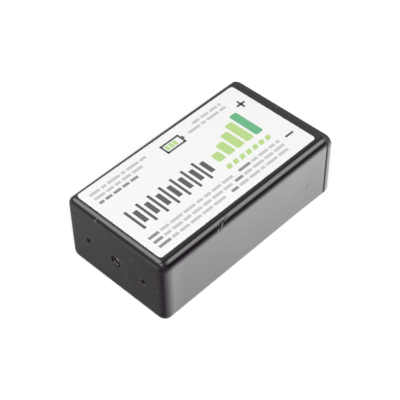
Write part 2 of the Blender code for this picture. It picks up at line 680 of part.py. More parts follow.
def make_label():
    """A thin plate whose top is divided into the white ground and the printed fields."""
    fields = (plate_fields() + charge_bar_fields() + dash_fields() + icon_fields() + sign_fields()
              + small_print_fields())
    outline = rounded_rectangle(LABEL_LENGTH / 2, LABEL_WIDTH / 2, LABEL_CORNER_RADIUS)
    points = [Vector(point) for point in outline]
    loops = [list(range(len(points)))]
    for _, shape_outline in fields:
        loops.append(list(range(len(points), len(points) + len(shape_outline))))
        points += [Vector((u * COLUMN, v * ROW)) for u, v in shape_outline]
    corners_used, _, faces_used, _, _, loops_over = geometry.delaunay_2d_cdt(
        points, [], loops, 1, SAME_POINT)
    shape = bmesh.new()
    top = CASE_HEIGHT + LABEL_THICKNESS
    upper = [shape.verts.new((LABEL_MIDDLE + p.x, LABEL_SHIFT + p.y, top)) for p in corners_used]
    names = ["label_white"] + sorted({name for name, _ in fields} - {"label_white"})
    for corners, sources in zip(faces_used, loops_over):
        face = shape.faces.new([upper[index] for index in corners])
        last = max(sources)
        face.material_index = names.index(fields[last - 1][0]) if last > 0 else 0
    rim = [edge for edge in shape.edges if edge.is_boundary]
    walls = bmesh.ops.extrude_edge_only(shape, edges=rim)["geom"]
    for item in walls:
        if isinstance(item, bmesh.types.BMVert):
            item.co.z = CASE_HEIGHT
        elif isinstance(item, bmesh.types.BMFace):
            item.material_index = 0
    floor_rim = [edge for edge in shape.edges if edge.is_boundary]
    floor = bmesh.ops.contextual_create(shape, geom=floor_rim)["faces"]
    for face in floor:
        face.material_index = 0
    return keep(shape, "label", *names)


def even_shading(piece):
    """Let the large flat faces set the normals at their rounded edges."""
    weighting = piece.modifiers.new("even_shading", "WEIGHTED_NORMAL")
    weighting.keep_sharp = True


def build():
    clear_scene()
    make_case_tub()
    make_end_cap()
    make_terminal_board()
    make_positive_stud()
    make_negative_socket()
    dish_floor = CAP_FACE + TERMINAL_HEIGHT - STUD_DISH_DEPTH
    make_rivet("positive", POSITIVE_Y, dish_floor)
    make_rivet("negative", NEGATIVE_Y, SEAT_FLOOR + SHELL_THICKNESS)
    make_positive_lead()
    make_negative_lead()
    for number in range(1, CELL_COUNT + 1):
        make_cell(number)
    for number in range(1, CELL_COUNT):
        make_cell_link(number)
    make_stack_sleeve()
    make_end_pad()
    make_label()
    for piece in bpy.data.objects:
        if not piece.hide_render:
            even_shading(piece)


build()
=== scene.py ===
import math

import bmesh
import bpy
import numpy as np
from mathutils import Matrix, Vector


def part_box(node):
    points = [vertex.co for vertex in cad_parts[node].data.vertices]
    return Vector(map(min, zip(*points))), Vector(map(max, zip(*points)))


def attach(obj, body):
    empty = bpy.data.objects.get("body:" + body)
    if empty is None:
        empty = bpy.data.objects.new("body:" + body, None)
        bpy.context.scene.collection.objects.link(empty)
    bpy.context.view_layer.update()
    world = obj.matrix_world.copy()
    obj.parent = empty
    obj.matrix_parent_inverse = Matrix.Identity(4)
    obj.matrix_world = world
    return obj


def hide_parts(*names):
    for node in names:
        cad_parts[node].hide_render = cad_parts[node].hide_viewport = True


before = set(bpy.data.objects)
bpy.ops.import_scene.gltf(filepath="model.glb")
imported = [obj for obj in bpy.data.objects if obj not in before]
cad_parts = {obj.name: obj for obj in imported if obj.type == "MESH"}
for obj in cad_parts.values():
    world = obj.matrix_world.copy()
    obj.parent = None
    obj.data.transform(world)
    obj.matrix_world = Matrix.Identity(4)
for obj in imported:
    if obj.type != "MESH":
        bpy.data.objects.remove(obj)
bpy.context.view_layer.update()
mm = 0.001
print("frame loaded:", len(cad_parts), "nodes")

tubLow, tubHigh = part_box("case_tub")
capLow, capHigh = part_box("end_cap")
labelLow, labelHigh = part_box("label")
closedEnd, seam, capFace, skirtEnd = tubLow.x, tubHigh.x, capHigh.x, capLow.x
halfWidth = tubHigh.y
midHeight = (tubLow.z + tubHigh.z) / 2
halfHeight = (tubHigh.z - tubLow.z) / 2


def lengths(**values):
    # millimetres made metres, in single values and in rows of them
    return {name: np.multiply(value, mm) for name, value in values.items()}


# Meshes from arrays

def gridQuads(rows, columns, closeRows=False, closeColumns=True):
    # the corners of every cell of a grid: this point, its right neighbour, the one above that, the one above
    row = np.arange(rows if closeRows else rows - 1)[:, None]
    column = np.arange(columns if closeColumns else columns - 1)[None, :]
    above = (row + 1) % rows
    right = (column + 1) % columns
    corners = [row * columns + column, row * columns + right, above * columns + right,
               above * columns + column]
    return np.stack(np.broadcast_arrays(*corners), -1).reshape(-1, 4)


def patch(points, closeRows=False, closeColumns=True, slot=0):
    # points is rows x columns x 3; slot is one material number, or one for each face of the grid
    rows, columns = points.shape[:2]
    quads = gridQuads(rows, columns, closeRows, closeColumns)
    bands = rows if closeRows else rows - 1
    slots = np.broadcast_to(slot, (bands, len(quads) // bands)).ravel()
    return points.reshape(-1, 3), quads, slots


def makePiece(name, patches, finishNames, replaced=None, bevel=0.0):
    # joins the patches, merges points closer than the weld step and makes a quad with two equal corners
    # a triangle, so that poles close; then the faces are turned outwards and shaded smooth
    weldStep, sharpAngle = 1e-8, math.radians(32.0)
    points, quads, slots = zip(*patches)
    starts = np.cumsum([0] + [len(part) for part in points[:-1]])
    quads = np.concatenate([part + start for part, start in zip(quads, starts)])
    points, slots = np.concatenate(points), np.concatenate(slots)
    keys = np.round(points / weldStep).astype(np.int64)
    _, first, owner = np.unique(keys, axis=0, return_index=True, return_inverse=True)
    corners = owner.reshape(-1)[quads]
    kept = corners != np.roll(corners, -1, axis=1)
    sizes = kept.sum(1)
    whole = sizes > 2
    loops = corners[whole][kept[whole]]
    ends = np.cumsum(sizes[whole])
    mesh = bpy.data.meshes.new(name)
    mesh.vertices.add(len(first))
    mesh.vertices.foreach_set("co", points[first].astype(np.float32).ravel())
    mesh.loops.add(len(loops))
    mesh.loops.foreach_set("vertex_index", loops.astype(np.int32))
    mesh.polygons.add(len(ends))
    mesh.polygons.foreach_set("loop_start", (ends - sizes[whole]).astype(np.int32))
    mesh.polygons.foreach_set("material_index", slots[whole].astype(np.int32))
    mesh.update(calc_edges=True)
    mesh.validate()
    shape = bmesh.new()
    shape.from_mesh(mesh)
    bmesh.ops.recalc_face_normals(shape, faces=shape.faces)
    shape.to_mesh(mesh)
    shape.free()
    for finishName in finishNames:
        mesh.materials.append(finishes[finishName])
    mesh.shade_smooth()
    mesh.set_sharp_from_angle(angle=sharpAngle)
    piece = bpy.data.objects.new(name, mesh)
    bpy.context.scene.collection.objects.link(piece)
    if bevel:
        rounding = piece.modifiers.new("rounding", "BEVEL")
        rounding.width = bevel
        rounding.segments = 2
        rounding.limit_method = "ANGLE"
        rounding.angle_limit = sharpAngle
    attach(piece, "root")
    if replaced:
        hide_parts(replaced)
    return piece


# The rounded rectangle that the case, the cap and the label share

section = dict(
    lengths(edge=1.65, corner=0.55, tighter=0.2, tightest=0.54, tightStart=12.0,
            farPlaces=(closedEnd / mm, 12.0, 18.0, seam / mm, capFace / mm),
            farTighter=(0.06, 0.32, 0.35, 0.39, -0.09)),
    acrossShares=(0.01, 0.06, 0.14), upEnds=(0.012, 0.06), upRange=(0.12, 0.88), upSteps=10, arcSteps=22,
    dividerSteps=15, faceSteps=9, faceCrowding=1.6)
quarterSigns = np.array([(1, 1), (-1, 1), (-1, -1), (1, -1)], float)  # the four corners, in turn


def quarterRounds(steps):
    # the angles of four quarter turns one after another, and the corner that each belongs to
    turns = np.arange(4)[:, None] + np.linspace(0, 1, steps)
    return turns.ravel() * math.pi / 2, np.repeat(quarterSigns, steps, axis=0)


def sectionTable(acrossShares):
    # for every point round the section: the two corners it lies between, its arc angle, and its share of
    # the way from one to the other; the straight runs are split at shares that all rings have in common
    arc = np.linspace(0, 1, section["arcSteps"] + 1)
    upEnds, between = np.array(section["upEnds"]), np.linspace(*section["upRange"], section["upSteps"])
    upShares = np.concatenate([upEnds, between, 1 - upEnds[::-1]])
    rows = []
    for quarter in range(4):
        shares = upShares if quarter % 2 else acrossShares
        for ahead, turns, parts in ((quarter, quarter + arc, 0 * arc),
                                    ((quarter + 1) % 4, quarter + 1 + 0 * shares, shares)):
            rows.append(np.stack(np.broadcast_arrays(quarter, ahead, turns * math.pi / 2, parts), -1))
    here, ahead, angle, share = np.concatenate(rows).T
    return quarterSigns[here.astype(int)], quarterSigns[ahead.astype(int)], angle, share


def tightening(x, radius, corner):
    # the upper near long edge keeps its radius; both lower ones are tighter, and tighter still towards the
    # cap, by tighter + (tightest - tighter) * share^1.5; the upper far one follows its own places, straight
    # between them, and is looser at the cap's face; all of it is less where the section's radius is drawn in
    share = np.clip((x - section["tightStart"]) / (seam - section["tightStart"]), 0, 1) ** 1.5
    lower = section["tighter"] + (section["tightest"] - section["tighter"]) * share
    upperFar = np.interp(x, section["farPlaces"], section["farTighter"])
    upper = np.where(corner[:, 0] < 0, 0, upperFar)
    whole = np.where(corner[:, 1] < 0, lower, upper)
    return whole * (radius - section["corner"]) / (section["edge"] - section["corner"])


def sectionRings(table, x, width, height, radius):
    # x, half width, half height and corner radius are one value for each ring; a point is its corner's
    # arc centre plus the radius along the arc angle, blended between two corners on the straight runs
    here, ahead, angle, share = table
    x, width, height, radius = (np.asarray(v, float)[:, None] for v in (x, width, height, radius))
    y = z = 0
    for corner, part in ((here, 1 - share), (ahead, share)):
        arc = radius - tightening(x, radius, corner)
        y = y + part * (corner[:, 0] * (width - arc) + arc * np.cos(angle))
        z = z + part * (corner[:, 1] * (height - arc) + arc * np.sin(angle))
    return np.stack([np.broadcast_to(x, y.shape), y, midHeight + z], -1)


def drawnIn(distance, radius):
    # radius - sqrt(radius^2 - (radius - distance)^2): how far a quarter-round has drawn in
    reach = radius - np.minimum(distance, radius)
    return radius - np.sqrt(np.maximum(radius * radius - reach * reach, 0))


def roundStations(end, direction, sideRadius, topRadius, steps=12):
    # rings from an end face to where its rounded edges meet the walls, closer together near the face:
    # the distance from the face is radius x (1 - cos(angle))
    distance = max(sideRadius, topRadius) * (1 - np.cos(np.linspace(0, 1, steps + 1) * math.pi / 2))
    side, top = drawnIn(distance, sideRadius), drawnIn(distance, topRadius)
    radius = np.maximum(section["edge"] - np.minimum(side, top), section["corner"])
    return np.column_stack([end + direction * distance, halfWidth - side, halfHeight - top, radius])


def evenStation(x, inset, radius):
    # one ring that lies the same inset within the outer walls all round
    return np.array([[x, halfWidth - inset, halfHeight - inset, radius]])


def holedFace(ring, dividers, holes, deepen, slot=0, holeSlot=0):
    # a flat end with a round hole in each strip between dividers: the strip's boundary runs round it, and
    # each row of points lies a share of the way from the circle to that boundary; the hole then goes on
    # along its own profile of radius and depth
    x = ring[0, 0]
    outline = ring[:, 1:]
    levels = np.linspace(outline[:, 1].min(), outline[:, 1].max(), section["dividerSteps"])
    share = (np.linspace(1, 0, section["faceSteps"]) ** section["faceCrowding"])[:, None, None]
    patches = []
    beyond, near = 1.0, 1e-7
    limits = [-beyond, *dividers, beyond]
    for left, right, (centre, profile) in zip(limits, limits[1:], holes):
        middle = np.array([centre, midHeight])
        inside = (outline[:, 0] >= left - near) & (outline[:, 0] <= right + near)
        loop = [outline[inside]]
        for edge in (left, right):
            if abs(edge) < beyond:
                loop.append(np.column_stack([np.full(len(levels) - 2, edge), levels[1:-1]]))
        loop = np.unique(np.round(np.concatenate(loop), 9), axis=0)
        angle = np.arctan2(*(loop - middle).T[::-1])
        order = np.argsort(angle)
        loop, angle = loop[order], angle[order]
        turn = np.column_stack([np.cos(angle), np.sin(angle)])
        rim = middle + profile[0][0] * turn
        radii, depths = np.array(profile).T[..., None]
        places = np.concatenate([rim + (loop - rim) * share, (middle + radii[..., None] * turn)[1:]])
        depths = np.concatenate([np.zeros((len(share), 1)), depths[1:]])
        along = np.broadcast_to(x + deepen * depths, places.shape[:2])
        grid = np.concatenate([along[..., None], places], -1)
        bands = np.where(np.arange(len(grid) - 1) < len(share) - 1, slot, holeSlot)
        patches.append(patch(grid, slot=bands[:, None]))
    return patches


print("mesh tools ready")


# Shader groups used by more than one finish

def feed(tree, socket, value):
    # a link where the value is another node's socket, and otherwise the value itself
    if isinstance(value, bpy.types.NodeSocket):
        tree.links.new(value, socket)
    elif value is not None:
        socket.default_value = value


def addNode(tree, kind, **values):
    node = tree.nodes.new(kind)
    for label, value in values.items():
        feed(tree, node.inputs[label], value)
    return node


def mathNode(tree, operation, a, b=None, clamp=False):
    node = tree.nodes.new("ShaderNodeMath")
    node.operation = operation
    node.use_clamp = clamp
    for socket, value in zip(node.inputs, (a, b)):
        feed(tree, socket, value)
    return node.outputs[0]


def vectorNode(tree, operation, a, b=None):
    node = tree.nodes.new("ShaderNodeVectorMath")
    node.operation = operation
    feed(tree, node.inputs[0], a)
    feed(tree, node.inputs["Scale" if operation == "SCALE" else 1], b)
    return node.outputs["Value" if operation in ("DOT_PRODUCT", "LENGTH") else 0]


def noiseNode(tree, vector, scale, detail=2.0, roughness=0.5):
    return addNode(tree, "ShaderNodeTexNoise", Vector=vector, Scale=scale, Detail=detail,
                   Roughness=roughness).outputs["Fac"]


def objectPoint(tree):
    return tree.nodes.new("ShaderNodeTexCoord").outputs["Object"]


def mottleValue(tree, given):
    # slow and quick noise added together, centred on nought: how uneven a moulded or plated surface is
    point = objectPoint(tree)
    quick = mathNode(tree, "MULTIPLY", given["Scale"], 5.0)
    slowPart = mathNode(tree, "SUBTRACT", noiseNode(tree, point, given["Scale"], 3.0), 0.5)
    quickPart = mathNode(tree, "SUBTRACT", noiseNode(tree, point, quick), 0.5)
    return mathNode(tree, "ADD", slowPart, mathNode(tree, "MULTIPLY", quickPart, 0.4))


def grainHeight(tree, given):
    # spark-eroded grain: cell distances at one scale over noise at another, as a height
    point = objectPoint(tree)
    cells = addNode(tree, "ShaderNodeTexVoronoi", Vector=point, Scale=given["Scale"])
    cells.feature = "SMOOTH_F1"
    half = mathNode(tree, "MULTIPLY", given["Scale"], 0.5)
    return mathNode(tree, "ADD", cells.outputs["Distance"], noiseNode(tree, point, half, 4.0, 0.6))


def dustMask(tree, given):
    # sparse specks: cells whose random value is low, and inside them the points close to the middle
    cells = addNode(tree, "ShaderNodeTexVoronoi", Vector=objectPoint(tree), Scale=given["Scale"])
    split = addNode(tree, "ShaderNodeSeparateColor", Color=cells.outputs["Color"])
    chosen = mathNode(tree, "LESS_THAN", split.outputs[0], given["Share"])
    close = mathNode(tree, "SUBTRACT", given["Size"], cells.outputs["Distance"])
    close = mathNode(tree, "DIVIDE", close, given["Size"], clamp=True)
    return mathNode(tree, "MULTIPLY", chosen, close, clamp=True)


def lineMask(tree, given):
    # a capsule round the line from Start to End: 1 on the line, falling to 0 at the Width from it
    fromStart = vectorNode(tree, "SUBTRACT", objectPoint(tree), given["Start"])
    line = vectorNode(tree, "SUBTRACT", given["End"], given["Start"])
    along = vectorNode(tree, "DOT_PRODUCT", fromStart, line)
    share = mathNode(tree, "DIVIDE", along, vectorNode(tree, "DOT_PRODUCT", line, line), clamp=True)
    foot = vectorNode(tree, "SCALE", line, share)
    gap = vectorNode(tree, "LENGTH", vectorNode(tree, "SUBTRACT", fromStart, foot))
    gap = mathNode(tree, "DIVIDE", gap, given["Width"])
    return mathNode(tree, "SUBTRACT", 1.0, gap, clamp=True)


def newGroup(name, output, build, **inputs):
    # a group that puts out the one number built from its inputs; an input of three values is a vector
    group = bpy.data.node_groups.new(name, "ShaderNodeTree")
    for label, value in inputs.items():
        kind = "NodeSocketVector" if isinstance(value, tuple) else "NodeSocketFloat"
        group.interface.new_socket(label, in_out="INPUT", socket_type=kind).default_value = value
    group.interface.new_socket(output, in_out="OUTPUT", socket_type="NodeSocketFloat")
    given = group.nodes.new("NodeGroupInput").outputs
    feed(group, group.nodes.new("NodeGroupOutput").inputs[output], build(group, given))
    return group


groups = dict(
    mottle=newGroup("surfaceMottle", "Value", mottleValue, Scale=300.0),
    grain=newGroup("mouldGrain", "Height", grainHeight, Scale=6000.0),
    dust=newGroup("dustSpecks", "Mask", dustMask, Scale=700.0, Share=0.05, Size=0.18),
    line=newGroup("lineMark", "Mask", lineMask, Start=(0, 0, 0), End=(0, 0, 0), Width=0.0002))
print("shader groups ready")


# Finishes

def groupNode(tree, key, **values):
    node = tree.nodes.new("ShaderNodeGroup")
    node.node_tree = groups[key]
    for label, value in values.items():
        feed(tree, node.inputs[label], value)
    return node.outputs[0]


def mixColour(tree, factor, *colours):
    node = tree.nodes.new("ShaderNodeMix")
    node.data_type = "RGBA"
    feed(tree, node.inputs["Factor"], factor)
    for label, colour in zip("AB", colours):
        isSocket = isinstance(colour, bpy.types.NodeSocket)
        feed(tree, node.inputs[label], colour if isSocket else (*colour, 1.0))
    return node.outputs["Result"]


def coatShare(tree, zones):
    # how shiny each place is, as painted reflection: a zone has, for each axis, the millimetres where its
    # share is 0 and where it is 1, straight between; those are multiplied together, and the most of all zones
    # counts
    axes = addNode(tree, "ShaderNodeSeparateXYZ", Vector=objectPoint(tree)).outputs
    total = None
    for zone in zones:
        share = None
        for axis, start, end in zone:
            start, end = start * mm, end * mm
            past = mathNode(tree, "SUBTRACT", axes[axis], start)
            step = mathNode(tree, "DIVIDE", past, end - start, clamp=True)
            share = step if share is None else mathNode(tree, "MULTIPLY", share, step)
        total = share if total is None else mathNode(tree, "MAXIMUM", total, share)
    return total


def newFinish(name, look):
    # look: two colours mixed by the mottle, roughness and its spread, the shader's plain values, grain as
    # (scale, strength, depth), dust as (scale, share, size, colour), fade as the zones of the coat, placed as
    # painted reflection, the colour outside them, painted shade or light there, and the cloud in it (scale,
    # amount), and scuffs and painted light as lines of (start, end, width, colour, how much of the coat is
    # left)
    material = bpy.data.materials.new(name)
    material.use_nodes = True
    tree = material.node_tree
    shader = tree.nodes["Principled BSDF"].inputs
    for label, value in look.get("plain", {}).items():
        shader[label].default_value = value
    mottle = groupNode(tree, "mottle", Scale=look["mottleScale"])
    lifted = mathNode(tree, "ADD", mottle, 0.5, clamp=True)
    colour = mixColour(tree, lifted, look["colour"], look["second"])
    rough = mathNode(tree, "MULTIPLY", mottle, look.get("spread", 0.05))
    rough = mathNode(tree, "ADD", rough, look["roughness"], clamp=True)
    coat = None
    if "fade" in look:
        fade = look["fade"]
        coat = coatShare(tree, fade["zones"].values())
        colour = mixColour(tree, coat, fade["colour"], colour)
        if "cloud" in fade:
            scale, amount = fade["cloud"]
            cloud = mathNode(tree, "MULTIPLY", groupNode(tree, "mottle", Scale=scale), amount)
            cloud = mathNode(tree, "SUBTRACT", 1.0, cloud)
            coat = mathNode(tree, "MULTIPLY", coat, cloud, clamp=True)
    if "dust" in look:
        scale, share, size, tint = look["dust"]
        specks = groupNode(tree, "dust", Scale=scale, Share=share, Size=size)
        colour = mixColour(tree, specks, colour, tint)
        rough = mathNode(tree, "MAXIMUM", rough, mathNode(tree, "MULTIPLY", specks, 0.8))
    # lines of colour: real scuffs and specks, and painted highlights and painted shade
    for begin, finish, width, tint, left in look.get("scuffsAndPaintedLight", ()):
        mask = groupNode(tree, "line", Start=begin, End=finish, Width=width)
        colour = mixColour(tree, mask, colour, tint)
        if coat is not None:
            change = mathNode(tree, "MULTIPLY", mask, mathNode(tree, "SUBTRACT", left, coat))
            coat = mathNode(tree, "ADD", coat, change)
    feed(tree, shader["Base Color"], colour)
    feed(tree, shader["Roughness"], rough)
    feed(tree, shader["Coat Weight"], coat)
    if "grain" in look:
        scale, strength, depth = look["grain"]
        bump = addNode(tree, "ShaderNodeBump", Strength=strength, Distance=depth,
                       Height=groupNode(tree, "grain", Scale=scale))
        feed(tree, shader["Normal"], bump.outputs["Normal"])
    return material


def scuffOrPaintedLight(begin, finish, width, brightness, left=0.0):
    # a line between two places in millimetres, as a grey of the wanted brightness and a share of coat: a real
    # scuff or speck, or a painted highlight or painted shade
    places = [tuple(value * mm for value in place) for place in (begin, finish)]
    return (*places, width * mm, (brightness, brightness * 0.98, brightness), left)


def ink(colour, second, roughness=0.33):
    return dict(colour=colour, second=second, roughness=roughness, mottleScale=900.0, plain={"IOR": 1.5})


endX, seamX, nearY = closedEnd / mm, seam / mm, -halfWidth / mm
shine = {"Specular IOR Level": 0.08, "Coat IOR": 3.2, "Coat Roughness": 0.13}
softShine = {"Specular IOR Level": 0.1, "Coat IOR": 2.9, "Coat Roughness": 0.24}
# marks of wear and painted light, in millimetres: lines of a nick in the near upper edge, dented into the
# case and painted darker and duller along them as painted shade in the dents; pale slivers beside it, which
# are painted highlights; specks of dust on the closed end; and short lines on the rims of the gate and of a
# vent there, which are painted highlights; the last two with y and z only
wearAndPaintedLight = dict(
    nick=(((-7.25, -12.03, 15.18), (-8.47, -12.27, 14.96)), ((-8.47, -12.27, 14.96), (-9.23, -12.51, 14.62)),
          ((-8.74, -12.15, 15.08), (-9.7, -12.48, 14.67)), ((-9.7, -12.48, 14.67), (-9.86, -12.7, 13.8))),
    sliverHighlights=(((-8.75, -12.39, 14.81), (-9.01, -12.54, 14.56)),
             ((-9.21, -12.59, 14.45), (-9.4, -12.67, 14.16)),
             ((-10.05, -12.62, 14.35), (-10.34, -12.7, 13.85))),
    specks=((-2.12, 9.12), (0.92, 4.79), (-4.64, 11.61), (-5.82, 10.54), (-3.09, 5.14), (-11.11, 7.95),
            (6.6, 4.9)),
    rimHighlights=(((-1.7, 8.3), (-1.55, 7.5)), ((-1.55, 7.5), (-1.1, 6.8)), ((-6.62, 8.2), (-6.9, 8.28)),
              ((-7.4, 7.2), (-7.8, 7.2))))
capTick = scuffOrPaintedLight((20.7, 0.39, 15.5), (21.8, 0.97, 15.45), 0.14, 0.14)
# a painted shade line down the seam between case and cap
seamPaintedShade = scuffOrPaintedLight((20.56, -12.65, 1.0), (20.56, -12.65, 14.3), 0.2, 0.006)
# painted reflection: a lighter band along the far upper edge
farPaintedSheen = scuffOrPaintedLight((-23.2, 11.9, 15.5), (20.4, 11.9, 15.5), 0.9, 0.09, 0.75)
# painted light: a lighter strip on the case's top beside the seam
seamPaintedLight = scuffOrPaintedLight((19.95, -10.7, 15.5), (19.95, 11.3, 15.5), 1.0, 0.034, 0.85)
# painted light: a lighter band on the closed end, under its upper edge's highlight
endPaintedLight = scuffOrPaintedLight((-24.08, -11.0, 14.62), (-24.08, 11.8, 14.62), 0.65, 0.026, 0.1)
wallScuffsAndPaintedLight = [
    farPaintedSheen, seamPaintedLight, scuffOrPaintedLight((15.45, nearY, 7.04), (14.68, nearY, 6.58), 0.25, 0.01, 0.25), capTick,
    scuffOrPaintedLight((17.9, nearY, 9.6), (17.6, nearY, 8.9), 0.1, 0.05, 0.75),
    scuffOrPaintedLight((-1.6, nearY, 4.3), (-2.3, nearY, 3.5), 0.08, 0.04, 0.85),
    # the nick: dented wear, painted darker and duller along its lines as painted shade in the dents
    *[scuffOrPaintedLight(*line, 0.14, 0.01, 0.05) for line in wearAndPaintedLight["nick"]],
    # painted highlights: pale slivers where the nick's dents catch the light
    *[scuffOrPaintedLight(*line, 0.15, 0.28, 0.1) for line in wearAndPaintedLight["sliverHighlights"]]]
endScuffsAndPaintedLight = [
    endPaintedLight, scuffOrPaintedLight((-23.55, 4.6, 15.37), (-24.24, 4.75, 14.65), 0.16, 0.2),
    scuffOrPaintedLight((endX, 5.6, 12.9), (endX, 4.3, 13.1), 0.09, 0.07),
    scuffOrPaintedLight((endX, -8.6, 4.2), (endX, -8.0, 4.9), 0.08, 0.07),
    *[scuffOrPaintedLight((endX, y, z), (endX, y + 0.1, z + 0.05), 0.2, 0.09) for y, z in wearAndPaintedLight["specks"]],
    # painted highlights on the rims of the gate and of a vent
    *[scuffOrPaintedLight((endX, *begin), (endX, *finish), 0.14, 0.11) for begin, finish in wearAndPaintedLight["rimHighlights"]]]
# painted light in the gate's pit: a painted glint on the nub, painted shade on the left of its wall, and a
# painted glint low on its wall
pitPaintedLight = [
    scuffOrPaintedLight((-23.82, 0.0, 8.12), (-23.82, -0.5, 7.77), 0.16, 0.2),
    scuffOrPaintedLight((-23.79, 1.1, 7.25), (-23.77, 0.5, 6.62), 0.32, 0.003),
    scuffOrPaintedLight((-23.86, 0.15, 6.46), (-23.93, -0.3, 6.4), 0.16, 0.16)]
# where each plastic has its coat, in millimetres: the zones are painted reflection and shade, placing
# highlights, the dark bands beside them, and walls lighter towards the top and to one side, where the
# studio light puts them
wallZone = (("Z", 14.4, 13.25), ("X", endX + 0.42, endX + 2.5), ("Z", -45, 13))
edgeZone = (("Z", 15.485, 15.335), ("Y", 14, 11))
glossZones = dict(
    wall=(*wallZone, ("X", -140, 14), ("X", seamX, seamX - 0.1)),
    wallEnd=(*wallZone, ("X", 10, -27)),
    edge=(("X", -12, -8), ("Z", 14.68, 15.08), *edgeZone),
    edgeEnd=(("X", 400, -10), ("X", -23.1, -22), ("Z", 14.86, 15.19), *edgeZone),
    top=(("Z", 15.25, 15.45), ("Y", -11.75, -11.05), ("Y", 16.5, 11)))
mattZones = dict(
    wall=(("Y", nearY, 270), ("Z", -5, 14.5), ("Z", 15.3, 14.8)),
    edge=(("Z", 14.92, 15.32), ("Y", -11.47, -11.17)),
    corner=(("Z", 14.8, 15.1), ("Y", -11.86, -11.5), ("X", endX - 0.4, endX + 8.3)),
    band=(("Z", 13.8, 14.5), ("Z", 15.3, 15), ("Y", -12, -11.2), ("X", endX - 0.4, endX + 9)))
capZones = dict(wall=(("Z", 14.4, 12.9), ("X", seamX + 0.45, seamX + 0.75)))
looks = dict(
    gloss=dict(
        colour=(0.014, 0.0125, 0.0145), second=(0.022, 0.0195, 0.0225), roughness=0.3,
        mottleScale=160.0, plain=shine, scuffsAndPaintedLight=wallScuffsAndPaintedLight,
        # outside its zones the gloss is darker: painted shade in the dark bands
        fade=dict(zones=glossZones, colour=(0.0072, 0.0038, 0.0075), cloud=(90.0, 0.12))),
    matt=dict(
        colour=(0.0103, 0.0064, 0.0106), second=(0.0163, 0.0114, 0.0166), roughness=0.5, spread=0.12,
        mottleScale=500.0, plain=softShine, scuffsAndPaintedLight=endScuffsAndPaintedLight, grain=(9000.0, 0.35, 0.00004),
        dust=(900.0, 0.02, 0.16, (0.1, 0.1, 0.1)),
        fade=dict(zones=mattZones, colour=(0.012, 0.0081, 0.0123))),
    pit=dict(colour=(0.0105, 0.007, 0.0108), second=(0.0155, 0.0108, 0.016), roughness=0.22,
             mottleScale=900.0, plain={"IOR": 1.5}, scuffsAndPaintedLight=pitPaintedLight),
    cap=dict(colour=(0.04, 0.0345, 0.0405), second=(0.05, 0.044, 0.0505), roughness=0.4, spread=0.06,
             mottleScale=400.0, plain={**shine, "Specular IOR Level": 0.4, "Coat IOR": 2.85},
             scuffsAndPaintedLight=[capTick, seamPaintedShade], fade=dict(zones=capZones, colour=(0.049, 0.0422, 0.0492))),
    paper=dict(colour=(0.862, 0.862, 0.858), second=(0.882, 0.882, 0.88), roughness=0.34,
               mottleScale=120.0, plain={"IOR": 1.5, "Specular IOR Level": 0.4}),
    grey=ink((0.12, 0.114, 0.124), (0.135, 0.128, 0.138)),
    lime=ink((0.475, 0.675, 0.25), (0.5, 0.695, 0.275)),
    green=ink((0.15, 0.46, 0.24), (0.165, 0.485, 0.255)),
    bold=ink((0.26, 0.258, 0.264), (0.29, 0.288, 0.294), 0.36),
    fine=ink((0.54, 0.542, 0.545), (0.58, 0.582, 0.585), 0.36),
    nickel=dict(colour=(0.68, 0.66, 0.62), second=(0.74, 0.72, 0.68), roughness=0.22, spread=0.12,
                mottleScale=700.0, plain={"Metallic": 1.0}),
    steel=dict(colour=(0.58, 0.57, 0.55), second=(0.66, 0.65, 0.63), roughness=0.34, spread=0.1,
               mottleScale=400.0, plain={"Metallic": 1.0}),
    fibre=dict(colour=(0.17, 0.11, 0.065), second=(0.25, 0.165, 0.1), roughness=0.72, spread=0.1,
               mottleScale=1500.0, grain=(2500.0, 0.3, 0.00005)),
    film=dict(colour=(0.025, 0.09, 0.26), second=(0.035, 0.11, 0.3), roughness=0.32, spread=0.06,
              mottleScale=300.0, plain={"IOR": 1.5}),
    foam=dict(colour=(0.26, 0.26, 0.26), second=(0.34, 0.34, 0.34), roughness=0.92,
              mottleScale=2500.0, grain=(1800.0, 0.8, 0.0001)))
finishes = {name: newFinish(name + "Finish", look) for name, look in looks.items()}
print("finishes:", ", ".join(finishes))


# Case

case = dict(
    lengths(endSide=1.6, endTop=1.25, wall=0.8, draft=0.1, endWall=1.2, lip=0.12, innerRadius=1.0,
            places=(-7.3, -0.2, 7.15), divider=3.6, gateRadius=1.35, gateDepth=0.55, gateRound=0.25,
            nubRadius=0.45, nubFoot=0.1, nubHeight=0.12, ventRadius=0.5, rimRound=0.06, mattDepth=0.12,
            mattHeight=14.5, firstWall=2.2, lastWall=1.0),
    stepsBefore=12, stepsAfter=22)
dents = dict(lengths(width=0.2, depth=0.045, lip=0.012, start=-10.9, end=-6.4, margin=0.6),
             lipPlace=1.4, lipSpread=0.4, steps=46)


def lipStations(x, direction, depth, steps=4):
    # a quarter-round lip from the outer wall to the mating face at x: drawn in by depth x (1 - cos(angle))
    angle = np.linspace(0, 1, steps + 1) * math.pi / 2
    inset = depth * (1 - np.cos(angle))
    along = x - direction * depth * (1 - np.sin(angle))
    return np.column_stack([along, halfWidth - inset, halfHeight - inset, section["edge"] - inset])


def endShares():
    # shares along the long run of the section: close to its ends, evenly between, and at both dividers
    run = halfWidth - case["endSide"] - section["corner"]
    cut = (1 - case["divider"] / run) / 2
    side = np.concatenate([section["acrossShares"], np.linspace(0.2, cut, 4)])
    middle = np.linspace(cut, 1 - cut, 8)[1:-1]
    return np.concatenate([side, middle, 1 - side[::-1]])


